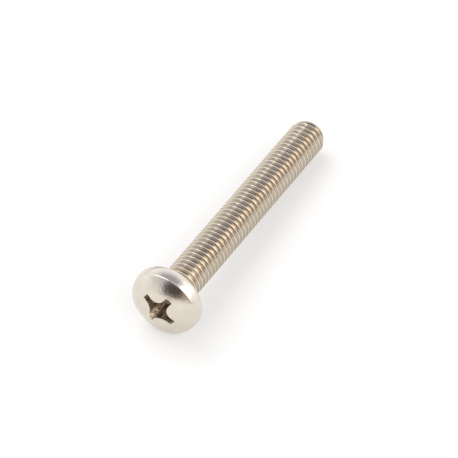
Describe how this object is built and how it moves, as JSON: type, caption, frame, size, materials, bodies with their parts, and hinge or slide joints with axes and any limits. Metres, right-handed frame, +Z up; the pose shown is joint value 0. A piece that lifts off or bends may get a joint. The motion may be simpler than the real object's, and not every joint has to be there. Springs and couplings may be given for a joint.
{
  "type": "machine screw",
  "caption": "Pan head machine screw with a cross recess and a right-hand thread up to the head, with a tapered tip, in bare stainless steel, lying on its side.",
  "frame": {"origin": "middle of the underside of the head, on the screw's axis", "axes": "+X along the screw from the head to the tip, +Z up; the screw lies as it rests, so its axis dips 3.59 degrees below +X towards the tip"},
  "size_m": [0.04, 0.0092, 0.0093],
  "materials": {
    "stainless_steel": "satin"
  },
  "bodies": {
    "root": {"machine_screw": "stainless_steel"}
  },
  "joints": []
}
